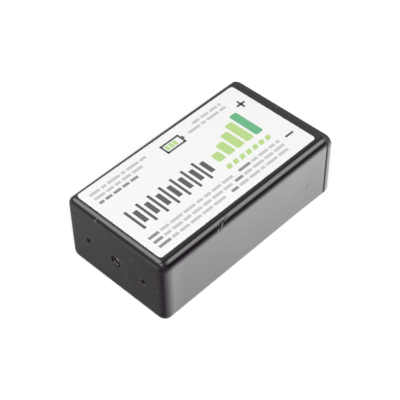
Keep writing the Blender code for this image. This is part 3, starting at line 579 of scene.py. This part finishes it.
def dented(points):
    # sinks points by the depth x (1 - g^2)^2, where g is the distance from the nearest line over the width,
    # and raises a lip of its height x exp(-((g - place) / spread)^2) beside it, square to the rounded edge
    centre = np.array([0, -(halfWidth - section["edge"]), tubHigh.z - section["edge"]])
    away = points - centre
    away[..., 0] = 0
    away[..., 1] = np.minimum(away[..., 1], 0)
    away[..., 2] = np.maximum(away[..., 2], 0)
    away /= np.maximum(np.linalg.norm(away, axis=-1), 1e-9)[..., None]
    nearest = np.full(points.shape[:-1], np.inf)
    for begin, finish in np.array(wearAndPaintedLight["nick"]) * mm:
        line = finish - begin
        share = np.clip(((points - begin) @ line) / (line @ line), 0, 1)
        nearest = np.minimum(nearest, np.linalg.norm(points - begin - share[..., None] * line, axis=-1))
    gap = nearest / dents["width"]
    lip = dents["lip"] * np.exp(-((gap - dents["lipPlace"]) / dents["lipSpread"]) ** 2)
    sunk = dents["depth"] * np.maximum(1 - gap * gap, 0) ** 2 - lip
    moved = points - sunk[..., None] * away
    moved[..., 1] = np.maximum(moved[..., 1], -halfWidth)
    return moved


def makeCase():
    # rings round X: the rounded closed end, the walls, the mouth's lip, and the inside back to its floor;
    # each end is then closed by a flat face, the outer one with the gate in its middle, the vents beside it
    table = sectionTable(endShares())
    outer = roundStations(closedEnd, 1, case["endSide"], case["endTop"])
    start, end, margin = dents["start"], dents["end"], dents["margin"]
    before = np.linspace(closedEnd + case["firstWall"], start - margin, case["stepsBefore"])
    after = np.linspace(end + margin, seam - case["lastWall"], case["stepsAfter"])
    alongX = np.concatenate([before, np.linspace(start, end, dents["steps"]), after])
    walls = np.concatenate([evenStation(x, 0, section["edge"]) for x in alongX])
    lip = lipStations(seam, 1, case["lip"])
    wall, cavityFloor = case["wall"], closedEnd + case["endWall"]
    inner = np.concatenate([evenStation(seam, wall, case["innerRadius"]),
                            evenStation(cavityFloor, wall + case["draft"], case["innerRadius"])])
    rings = sectionRings(table, *np.concatenate([outer, walls, lip, inner]).T)
    shown = len(outer) + len(walls)
    rings[:shown] = dented(rings[:shown])
    x, height = rings[:-1, :, 0], rings[:-1, :, 2]
    upperEdge = (x < closedEnd + case["endTop"]) & (height > case["mattHeight"])
    matt = (np.arange(len(x)) < len(outer))[:, None] & ((x < closedEnd + case["mattDepth"]) | upperEdge)
    rim, depth, bend = case["rimRound"], case["gateDepth"], case["gateRound"]
    gate, nub, vent = case["gateRadius"], case["nubRadius"], case["ventRadius"]
    floor = depth - case["nubHeight"]
    gateProfile = [(gate + rim, 0), (gate + 0.3 * rim, 0.3 * rim), (gate, rim), (gate, depth - bend),
                   (gate - 0.32 * bend, depth - 0.32 * bend), (gate - bend, depth),
                   (nub + case["nubFoot"], depth), (nub, depth - 0.8 * case["nubHeight"]), (0.8 * nub, floor),
                   (0, floor)]
    ventProfile = [(vent + 0.5 * rim, 0), (vent, 0.5 * rim), (vent, case["endWall"])]
    dividers, plug = (-case["divider"], case["divider"]), [(vent, 0)]
    holes = zip(case["places"], (ventProfile, gateProfile, ventProfile))
    plugs = zip(case["places"], (plug, [(0, 0)], plug))
    outside = holedFace(rings[0], dividers, holes, 1, slot=1, holeSlot=2)
    inside = holedFace(rings[-1], dividers, plugs, 1)
    walls = patch(rings, slot=np.where(matt, 1, 0))
    return makePiece("caseShell", [walls] + outside + inside, ("gloss", "matt", "pit"),
                     replaced="case_tub")


caseShell = makeCase()
print("case:", len(caseShell.data.polygons), "faces")


# Terminal cap

cap = lengths(side=0.66, farSide=1.25, top=1.5, gap=0.1, lip=0.24, skirtInset=0.9, skirtWall=0.8,
              faceWall=1.2, seatDepth=0.3, seatClear=0.15, seatRound=0.05, studFlange=3.5, socketRim=4.2,
              hole=0.9, pitch=12.7, ringGap=0.001)


def makeCap():
    # rings round X: the pocket inside the skirt, the skirt, the lip at the seam and the rounded outer face;
    # each side of the wall is then closed by a flat face with the two terminals' holes
    run = halfWidth - cap["side"] - section["corner"]
    side = np.concatenate([section["acrossShares"], np.linspace(0.2, 0.5, 7)])
    table = sectionTable(np.concatenate([side, 1 - side[-2::-1]]))
    back = seam + cap["gap"]
    innerFace = capFace - cap["faceWall"]
    skirt, pocket = cap["skirtInset"], cap["skirtInset"] + cap["skirtWall"]
    places = ((innerFace, pocket), (skirtEnd, pocket), (skirtEnd, skirt), (back, skirt))
    inner = np.concatenate([evenStation(x, inset, case["innerRadius"]) for x, inset in places])
    lip = lipStations(back, -1, cap["lip"])[::-1]
    outer = roundStations(capFace, -1, cap["side"], cap["top"])[::-1]
    outer = outer[outer[:, 0] > back + cap["lip"] + cap["ringGap"]]
    rings = sectionRings(table, *np.concatenate([inner, lip, outer]).T)
    # the far side is rounder: it is scaled by its half width over the near side's, ring by ring
    toFace = (capFace - outer[:, 0])[:, None]
    farWidth, nearWidth = (halfWidth - drawnIn(toFace, cap[side]) for side in ("farSide", "side"))
    face = rings[-len(outer):, :, 1]
    rings[-len(outer):, :, 1] = np.where(face > 0, face * farWidth / nearWidth, face)
    half = cap["pitch"] / 2
    depth = cap["seatDepth"]
    seats = []
    for centre, radius in ((-half, cap["socketRim"]), (half, cap["studFlange"])):
        seat, bend = radius + cap["seatClear"], cap["seatRound"]
        seats.append((centre, [(seat + bend, 0), (seat, bend), (seat, depth), (cap["hole"], depth),
                               (cap["hole"], cap["faceWall"])]))
    outside = holedFace(rings[-1], (0,), seats, -1)
    inside = holedFace(rings[0], (0,), [(centre, [(cap["hole"], 0)]) for centre, _ in seats], 1)
    return makePiece("capShell", [patch(rings)] + outside + inside, ["cap"],
                     replaced="end_cap")


capShell = makeCap()
print("cap:", len(capShell.data.polygons), "faces")


# Label sheet and its print

sheet = dict(
    lengths(radius=0.65, edgeRound=0.02, printHeight=0.006, printDepth=0.02, topInset=0.3,
            topRadius=0.1, lowTrim=(0.12, 0.11, 0), highTrim=(0.03, -0.056, 0)),
    columns=42.0, rows=22.0, margin=1.6, askew=0.0032, arcSteps=13, edgeSteps=5)
labelLow, labelHigh = labelLow + Vector(sheet["lowTrim"]), labelHigh - Vector(sheet["highTrim"])
labelMiddle = (labelLow + labelHigh) / 2
labelHalf = (labelHigh - labelLow) / 2
sheetTop = labelHigh.z - sheet["printHeight"]


def turnedLabel(points):
    # the label sits slightly askew: a small turn about its middle, x + a y and y - a x
    away = points - np.array([labelMiddle.x, labelMiddle.y, 0])
    shift = np.stack([away[..., 1], -away[..., 0], np.zeros(away.shape[:-1])], -1)
    return points + sheet["askew"] * shift


def makeSheet():
    # rings of a rounded rectangle: up the edge, over a small round, then in towards the middle; its corner
    # points are the half size less the inset and the radius, plus the radius along the arc angle
    angle, corner = quarterRounds(sheet["arcSteps"])
    edge = sheet["edgeRound"]
    turn = np.linspace(0, 1, sheet["edgeSteps"]) * math.pi / 2
    inset = np.concatenate([[0, 0], edge * (1 - np.cos(turn))[1:], [sheet["topInset"]]])[:, None]
    side = sheetTop - edge
    rise = np.concatenate([[labelLow.z, side], side + edge * np.sin(turn)[1:], [sheetTop]])
    radius = np.maximum(sheet["radius"] - inset, sheet["topRadius"])
    x = labelMiddle.x + corner[:, 0] * (labelHalf.x - inset - radius) + radius * np.cos(angle)
    y = labelMiddle.y + corner[:, 1] * (labelHalf.y - inset - radius) + radius * np.sin(angle)
    rings = np.stack([x, y, np.broadcast_to(rise[:, None], x.shape)], -1)
    lower, upper = (np.broadcast_to([labelMiddle.x, labelMiddle.y, z], rings[:1].shape)
                    for z in (labelLow.z, sheetTop))
    points = turnedLabel(np.concatenate([lower, rings, upper]))
    return makePiece("labelSheet", [patch(points)], ["paper"], replaced="label")


makeSheet()

# the print, from the label's middle, in units of which the sheet has so many columns and rows
marks = dict(
    plates=dict(count=7, start=-18.2, step=2.9, offset=1.2, level=-1.3, sizes=((0.6, 5.6), (1.1, 3.4))),
    bars=dict(count=5, start=3.4, step=2.6, foot=-2.2, width=2.0, height=2.4, rise=1.25),
    dashes=dict(count=7, start=3.4, step=1.8, foot=-4.8, width=1.15, height=1.15),
    signs=dict(size=2.2, stroke=0.5, level=6.35),
    icon=dict(place=(-1.6, 6.4), size=(5.0, 2.6), wall=0.45, knobOut=0.4, cells=3),
    words=dict(step=1.35, height=0.66, shortest=0.9, longest=3.2, space=0.42, most=40, change=2.4,
               wordGap=0.9, nearRows=3, nearGap=-1.5, farRows=3, farLength=14.5, endRows=2, endLength=8.0,
               seed=9))


def makeMarks(name, boxes, finishName, radius, slant=0.0, arcSteps=3):
    # boxes has one row of u, v, width, height for each mark, from the label's middle; every mark is a thin
    # plate: its middle and rounded outline below, then the outline and middle above
    boxes = np.asarray(boxes, float)
    halves = boxes[:, 2:] / 2
    centres = boxes[:, :2] + halves
    angle, corner = quarterRounds(arcSteps)
    rounds = np.minimum(radius, halves.min(1) * 0.95)[:, None, None]
    outline = (corner[None] * (halves[:, None] - rounds)
               + rounds * np.column_stack([np.cos(angle), np.sin(angle)])[None])
    outline[..., 0] += outline[..., 1] * slant / (2 * halves[:, None, 1])
    outline += centres[:, None]
    middle = np.broadcast_to(centres[:, None], outline.shape)
    u, v = np.moveaxis(np.stack([middle, outline, outline, middle], 1), -1, 0)
    low, high = sheetTop - sheet["printDepth"], sheetTop + sheet["printHeight"]
    x = labelMiddle.x + u * 2 * labelHalf.x / sheet["columns"]
    y = labelMiddle.y + v * 2 * labelHalf.y / sheet["rows"]
    z = np.broadcast_to(np.array([low, low, high, high])[:, None], u.shape)
    points = turnedLabel(np.stack([x, y, z], -1))
    count, rows, columns = points.shape[:3]
    quads = gridQuads(rows, columns)[None] + (np.arange(count) * rows * columns)[:, None, None]
    quads = quads.reshape(-1, 4)
    return makePiece(name, [(points.reshape(-1, 3), quads, np.zeros(len(quads), int))], [finishName])


def iconBoxes(place, size, wall, knobOut, cells):
    # a battery's outline with its knob, and the full cells inside it
    (u, v), (width, height) = place, size
    outline = [(u, v, width, wall), (u, v + height - wall, width, wall), (u, v, wall, height),
               (u + width - wall, v, wall, height),
               (u + width - wall + knobOut, v + height / 3, wall, height / 3)]
    step = (width - 2 * wall) / (cells + 1)
    inside = [(u + 1.5 * wall + step * number, v + 1.5 * wall, step - wall / 2, height - 3 * wall)
              for number in range(cells)]
    return outline, inside


def plateBoxes(count, start, step, offset, level, sizes):
    # pairs of a long and a short stroke, both centred on the level
    return [(start + number * step + side * offset, level - height / 2, width, height)
            for number in range(count) for side, (width, height) in enumerate(sizes)]


def barBoxes(count, start, step, foot, width, height, rise=0.0):
    # bars on one foot line, each taller than the last by the rise
    return [(start + number * step, foot, width, height + number * rise) for number in range(count)]


def signBoxes(size, stroke, level):
    # a plus and a minus, each beside its terminal
    centre = sheet["columns"] / 2 - sheet["margin"] - size / 2
    shift = labelMiddle.y / mm
    return [(centre - size / 2, level - shift - stroke / 2, size, stroke),
            (centre - stroke / 2, level - shift - size / 2, stroke, size),
            (centre - size / 2, -level - shift - stroke / 2, size, stroke)]


def finePrint(step, height, shortest, longest, space, most, change, wordGap, nearRows, nearGap, farRows,
              farLength, endRows, endLength, seed):
    # pale bars, and the first bar of each near row and the whole last far row in a stronger tone
    rng = np.random.default_rng(seed)
    half, halfUp, margin = sheet["columns"] / 2, sheet["rows"] / 2, sheet["margin"]
    left, right = margin - half, half - 2 * margin - marks["signs"]["size"]
    pale, strong = [], []

    def wordRow(u, v, length):
        # one row of small print: plain bars of uneven length with a space between them
        widths = rng.uniform(shortest, longest, most)
        starts = np.concatenate([[0], np.cumsum(widths + space)[:-1]])
        widths = np.minimum(widths, length - starts)
        return np.stack(np.broadcast_arrays(u + starts, v, widths, height), -1)[widths > shortest / 2]

    for row in range(nearRows):
        gap = nearGap + row * change
        for start, finish in ((left, gap), (gap + wordGap, right)):
            bars = wordRow(start, margin - halfUp + row * step, finish - start)
            strong.append(bars[:1])
            pale.append(bars[1:])
    for row in range(farRows):
        level = halfUp - margin - height - row * step
        bars = wordRow(left, level, farLength - row * change)
        (strong if row == farRows - 1 else pale).append(bars)
        if row < endRows:
            length = endLength + row * change
            pale.append(wordRow(right - length, level, length))
    return np.concatenate(pale), np.concatenate(strong)


iconOutline, iconCells = iconBoxes(**marks["icon"])
bars = barBoxes(**marks["bars"])
greyBoxes = plateBoxes(**marks["plates"]) + signBoxes(**marks["signs"]) + iconOutline
makeMarks("platesPrint", greyBoxes, "grey", radius=0.05)
makeMarks("barsPrint", bars[:-1], "lime", radius=0.45, arcSteps=8)
makeMarks("tallBarPrint", bars[-1:], "green", radius=0.45, arcSteps=8)
makeMarks("dashesPrint", barBoxes(**marks["dashes"]), "lime", radius=0.08, slant=0.4)
makeMarks("iconCellsPrint", iconCells, "lime", radius=0.05)
paleBars, strongBars = finePrint(**marks["words"])
smallPrint = makeMarks("smallPrint", paleBars, "fine", radius=0.12)
makeMarks("strongPrint", strongBars, "bold", radius=0.12)
print("label:", len(smallPrint.data.polygons), "faces of small print")


# Terminals and rivets, turned about axes along X

terminal = dict(
    lengths(height=2.1, seatDepth=0.3, wall=0.3, flange=3.48, neck=2.55, bulb=2.86, bulbHeight=1.25,
            dish=0.35, throat=2.75, rim=4.2, skirtLift=0.75, slot=0.7, slotFloor=0.6, bevel=0.03),
    petals=6, petalSteps=17, rollSteps=13, steps=96)
rivet = lengths(radius=0.8, bore=0.5, head=1.4, thickness=0.25, lip=0.1)
seatFloor = capFace - terminal["seatDepth"]
tip = capFace + terminal["height"]
poleY = cap["pitch"] / 2


def softened(path, rounds=3):
    # corner cutting: each run between two points keeps its middle half, three times over; the ends stay
    path = np.asarray(path, float)
    for _ in range(rounds):
        first, last = path[:1], path[-1:]
        early = 0.75 * path[:-1] + 0.25 * path[1:]
        late = 0.25 * path[:-1] + 0.75 * path[1:]
        path = np.concatenate([first, np.stack([early, late], 1).reshape(-1, 2), last])
    return path


def wallSides(path, thickness):
    # the path moved half the thickness to each side, square to its own direction
    along = np.gradient(path, axis=0)
    along /= np.linalg.norm(along, axis=1)[:, None]
    square = np.column_stack([-along[:, 1], along[:, 0]]) * thickness / 2
    return path + square, path - square


def turnedPatch(profile, y, angles, closeColumns=True):
    # a profile of x and radius, closed on itself, swept through the angles; angles may differ by point
    x, radius = profile.T
    angles = np.broadcast_to(angles, (len(profile), np.shape(angles)[-1]))
    points = np.stack([np.broadcast_to(x[:, None], angles.shape), y + radius[:, None] * np.cos(angles),
                       midHeight + radius[:, None] * np.sin(angles)], -1)
    return patch(points, closeRows=True, closeColumns=closeColumns)


fullTurn = np.linspace(0, 2 * math.pi, terminal["steps"], endpoint=False)


def turnedPiece(name, node, patches):
    return makePiece(name, patches, ["nickel"], replaced=node, bevel=terminal["bevel"])


def makeStud():
    # the middle line of the wall, from the flange up the neck, over the bulb and down into the dish
    wall, head = terminal["wall"], rivet["head"]
    base, crown = seatFloor + wall / 2, tip - wall / 2
    neck, bulb = terminal["neck"] - wall / 2, terminal["bulb"] - wall / 2
    level, dish = base + terminal["bulbHeight"], crown - terminal["dish"]
    path = [(base, terminal["flange"]), (base, neck + wall), (base + wall / 2, neck + wall / 4),
            (base + 2 * wall, neck), (level - wall, bulb - wall / 4), (level, bulb),
            (crown - wall, bulb - wall / 3), (crown - wall / 4, bulb - wall), (crown, bulb - 2 * wall),
            (crown - wall / 4, bulb - 3 * wall), (dish, head), (dish, cap["hole"])]
    left, right = wallSides(softened(path), wall)
    turnedPiece("studShell", "positive_stud",
                [turnedPatch(np.concatenate([left, right[::-1]]), poleY, fullTurn)])


def makeSocket():
    # the cup is turned whole; above the slots' floor six petals share the circle, each a part turn whose
    # edges keep half a slot from the spoke between two petals, so the slots stay equally wide
    wall = terminal["wall"]
    base, crown = seatFloor + wall / 2, tip - wall / 2
    throat, rim = terminal["throat"] + wall / 2, terminal["rim"] - wall / 2
    roll = (rim - throat) / 2
    top = crown - roll
    over = np.linspace(0, math.pi, terminal["rollSteps"])
    path = [(base, cap["hole"]), (base, throat), (base + wall, throat + wall),
            (base + 3 * wall, throat + wall / 2), (top - wall, throat),
            *zip(top + roll * np.sin(over), throat + roll * (1 - np.cos(over))),
            (seatFloor + terminal["skirtLift"], rim)]
    line = softened(path)
    floor = seatFloor + terminal["slotFloor"]
    split = int(np.argmax(line[:, 0] > floor))
    left, right = wallSides(line, wall)
    cup = np.concatenate([left[:split + 1], right[:split + 1][::-1]])
    patches = [turnedPatch(cup, -poleY, fullTurn)]
    profile = np.concatenate([left[split:], right[split:][::-1]])
    edge = np.arcsin(np.minimum(terminal["slot"] / 2 / profile[:, 1], 1))[:, None]
    step = 2 * math.pi / terminal["petals"]
    share = np.linspace(0, 1, terminal["petalSteps"])[None]
    count = len(profile) // 2
    for petal in range(terminal["petals"]):
        angles = petal * step + edge + (step - 2 * edge) * share
        patches.append(turnedPatch(profile, -poleY, angles, closeColumns=False))
        grid = patches[-1][0].reshape(len(profile), -1, 3)
        for column in (0, -1):
            cheek = np.stack([grid[:count, column], grid[count:, column][::-1]])
            patches.append(patch(cheek, closeColumns=False))
    turnedPiece("socketShell", "negative_socket", patches)


def makeRivet(name, node, y):
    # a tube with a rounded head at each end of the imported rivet's length, its bore's mouths widened
    low, high = (corner.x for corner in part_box(node))
    head, thick, radius, bore, lip = (rivet[key] for key in ("head", "thickness", "radius", "bore", "lip"))
    profile = [(high, bore + lip), (high, head - thick / 2), (high - thick / 2, head),
               (high - thick, head - thick / 2), (high - thick, radius), (low + thick, radius),
               (low + thick, head - thick / 2), (low + thick / 2, head), (low, head - thick / 2),
               (low, bore + lip), (low + lip, bore), (high - lip, bore)]
    turnedPiece(name, node, [turnedPatch(np.array(profile), y, fullTurn)])


makeStud()
makeSocket()
makeRivet("studRivet", "positive_rivet", poleY)
makeRivet("socketRivet", "negative_rivet", -poleY)
print("terminals made")


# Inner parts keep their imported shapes

innerFinish = dict(terminal_board="fibre", positive_lead="nickel", negative_lead="nickel",
                   stack_sleeve="film", end_pad="foam")
for nodeName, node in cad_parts.items():
    key = innerFinish.get(nodeName)
    if nodeName.startswith("cell_link"):
        key = "nickel"
    elif nodeName.startswith("cell_"):
        key = "steel"
    if key:
        node.data.materials.clear()
        node.data.materials.append(finishes[key])
print("inner parts dressed")


# Floor, light and camera

stage = dict(
    floorRadius=6.0, floorRings=12, floorSpokes=64, floorDrop=0.02 * mm, floorGlow=0.27,
    floorColour=(0.88, 0.88, 0.88), worldColour=(0.12, 0.12, 0.121))
lamps = dict(
    sideBox=dict(towards=(0.494, -0.562, 0.664), distance=0.5, size=0.37, radiance=0.74),
    backBox=dict(towards=(-0.17, 0.483, 0.859), distance=0.5, size=0.42, radiance=0.9),
    frontBox=dict(towards=(-0.494, -0.483, 0.723), distance=1.6, size=1.4, radiance=6.9))
cameraSetup = dict(
    place=(-0.11377, -0.109363, 0.170531), aim=(-0.002573, -0.000726, 0.00775), roll=-0.831,
    lens=105.82, sensor=36.0)


def makeFloor():
    # a flat disc of rings, radius growing with the square of the step; camera and mirror rays see a glow
    radius = stage["floorRadius"] * np.linspace(0, 1, stage["floorRings"])[:, None] ** 2
    angle = np.linspace(0, 2 * math.pi, stage["floorSpokes"], endpoint=False)[None]
    x, y = radius * np.cos(angle), radius * np.sin(angle)
    flat, quads, _ = patch(np.stack([x, y, np.full(x.shape, -stage["floorDrop"])], -1))
    mesh = bpy.data.meshes.new("studioFloor")
    mesh.from_pydata(flat.tolist(), [], quads.tolist())
    mesh.validate()
    floor = bpy.data.objects.new("studioFloor", mesh)
    bpy.context.scene.collection.objects.link(floor)
    material = bpy.data.materials.new("floorPaper")
    material.use_nodes = True
    tree = material.node_tree
    tree.nodes.clear()
    rays = tree.nodes.new("ShaderNodeLightPath").outputs
    seen = mathNode(tree, "MAXIMUM", rays["Is Camera Ray"], rays["Is Glossy Ray"])
    seen = mathNode(tree, "MAXIMUM", seen, rays["Is Transmission Ray"])
    seen = mathNode(tree, "MULTIPLY", seen, stage["floorGlow"])
    diffuse = addNode(tree, "ShaderNodeBsdfDiffuse", Color=(*stage["floorColour"], 1.0))
    glow = addNode(tree, "ShaderNodeEmission", Strength=seen)
    both = tree.nodes.new("ShaderNodeAddShader")
    for socket, shader in zip(both.inputs, (diffuse, glow)):
        feed(tree, socket, shader.outputs[0])
    addNode(tree, "ShaderNodeOutputMaterial", Surface=both.outputs[0])
    mesh.materials.append(material)


def makeLamp(name, setup):
    # a disc facing the battery; its power for a wanted radiance is radiance x pi x the disc's area
    lamp = bpy.data.lights.new(name, "AREA")
    lamp.shape = "DISK"
    lamp.size = setup["size"]
    lamp.energy = setup["radiance"] * math.pi * math.pi * (setup["size"] / 2) ** 2
    holder = bpy.data.objects.new(name, lamp)
    direction = Vector(setup["towards"]).normalized()
    holder.location = direction * setup["distance"] + Vector((0, 0, midHeight))
    holder.rotation_euler = (-direction).to_track_quat("-Z", "Y").to_euler()
    bpy.context.scene.collection.objects.link(holder)


def makeCamera():
    view = bpy.data.cameras.new("photoView")
    view.lens = cameraSetup["lens"]
    view.sensor_width = cameraSetup["sensor"]
    view.clip_start = 0.01
    view.clip_end = 50.0
    camera = bpy.data.objects.new("photoView", view)
    place = Vector(cameraSetup["place"])
    direction = Vector(cameraSetup["aim"]) - place
    roll = Matrix.Rotation(math.radians(cameraSetup["roll"]), 3, "Z")
    camera.location = place
    camera.rotation_euler = (direction.to_track_quat("-Z", "Y").to_matrix() @ roll).to_euler()
    bpy.context.scene.collection.objects.link(camera)
    bpy.context.scene.camera = camera


makeFloor()
for lampName, lampSetup in lamps.items():
    makeLamp(lampName, lampSetup)
makeCamera()
world = bpy.data.worlds.new("studioWorld")
world.use_nodes = True
world.node_tree.nodes["Background"].inputs["Color"].default_value = (*stage["worldColour"], 1.0)
bpy.context.scene.world = world
bpy.context.scene.view_settings.view_transform = "Standard"
print("stage, lamps and camera placed")
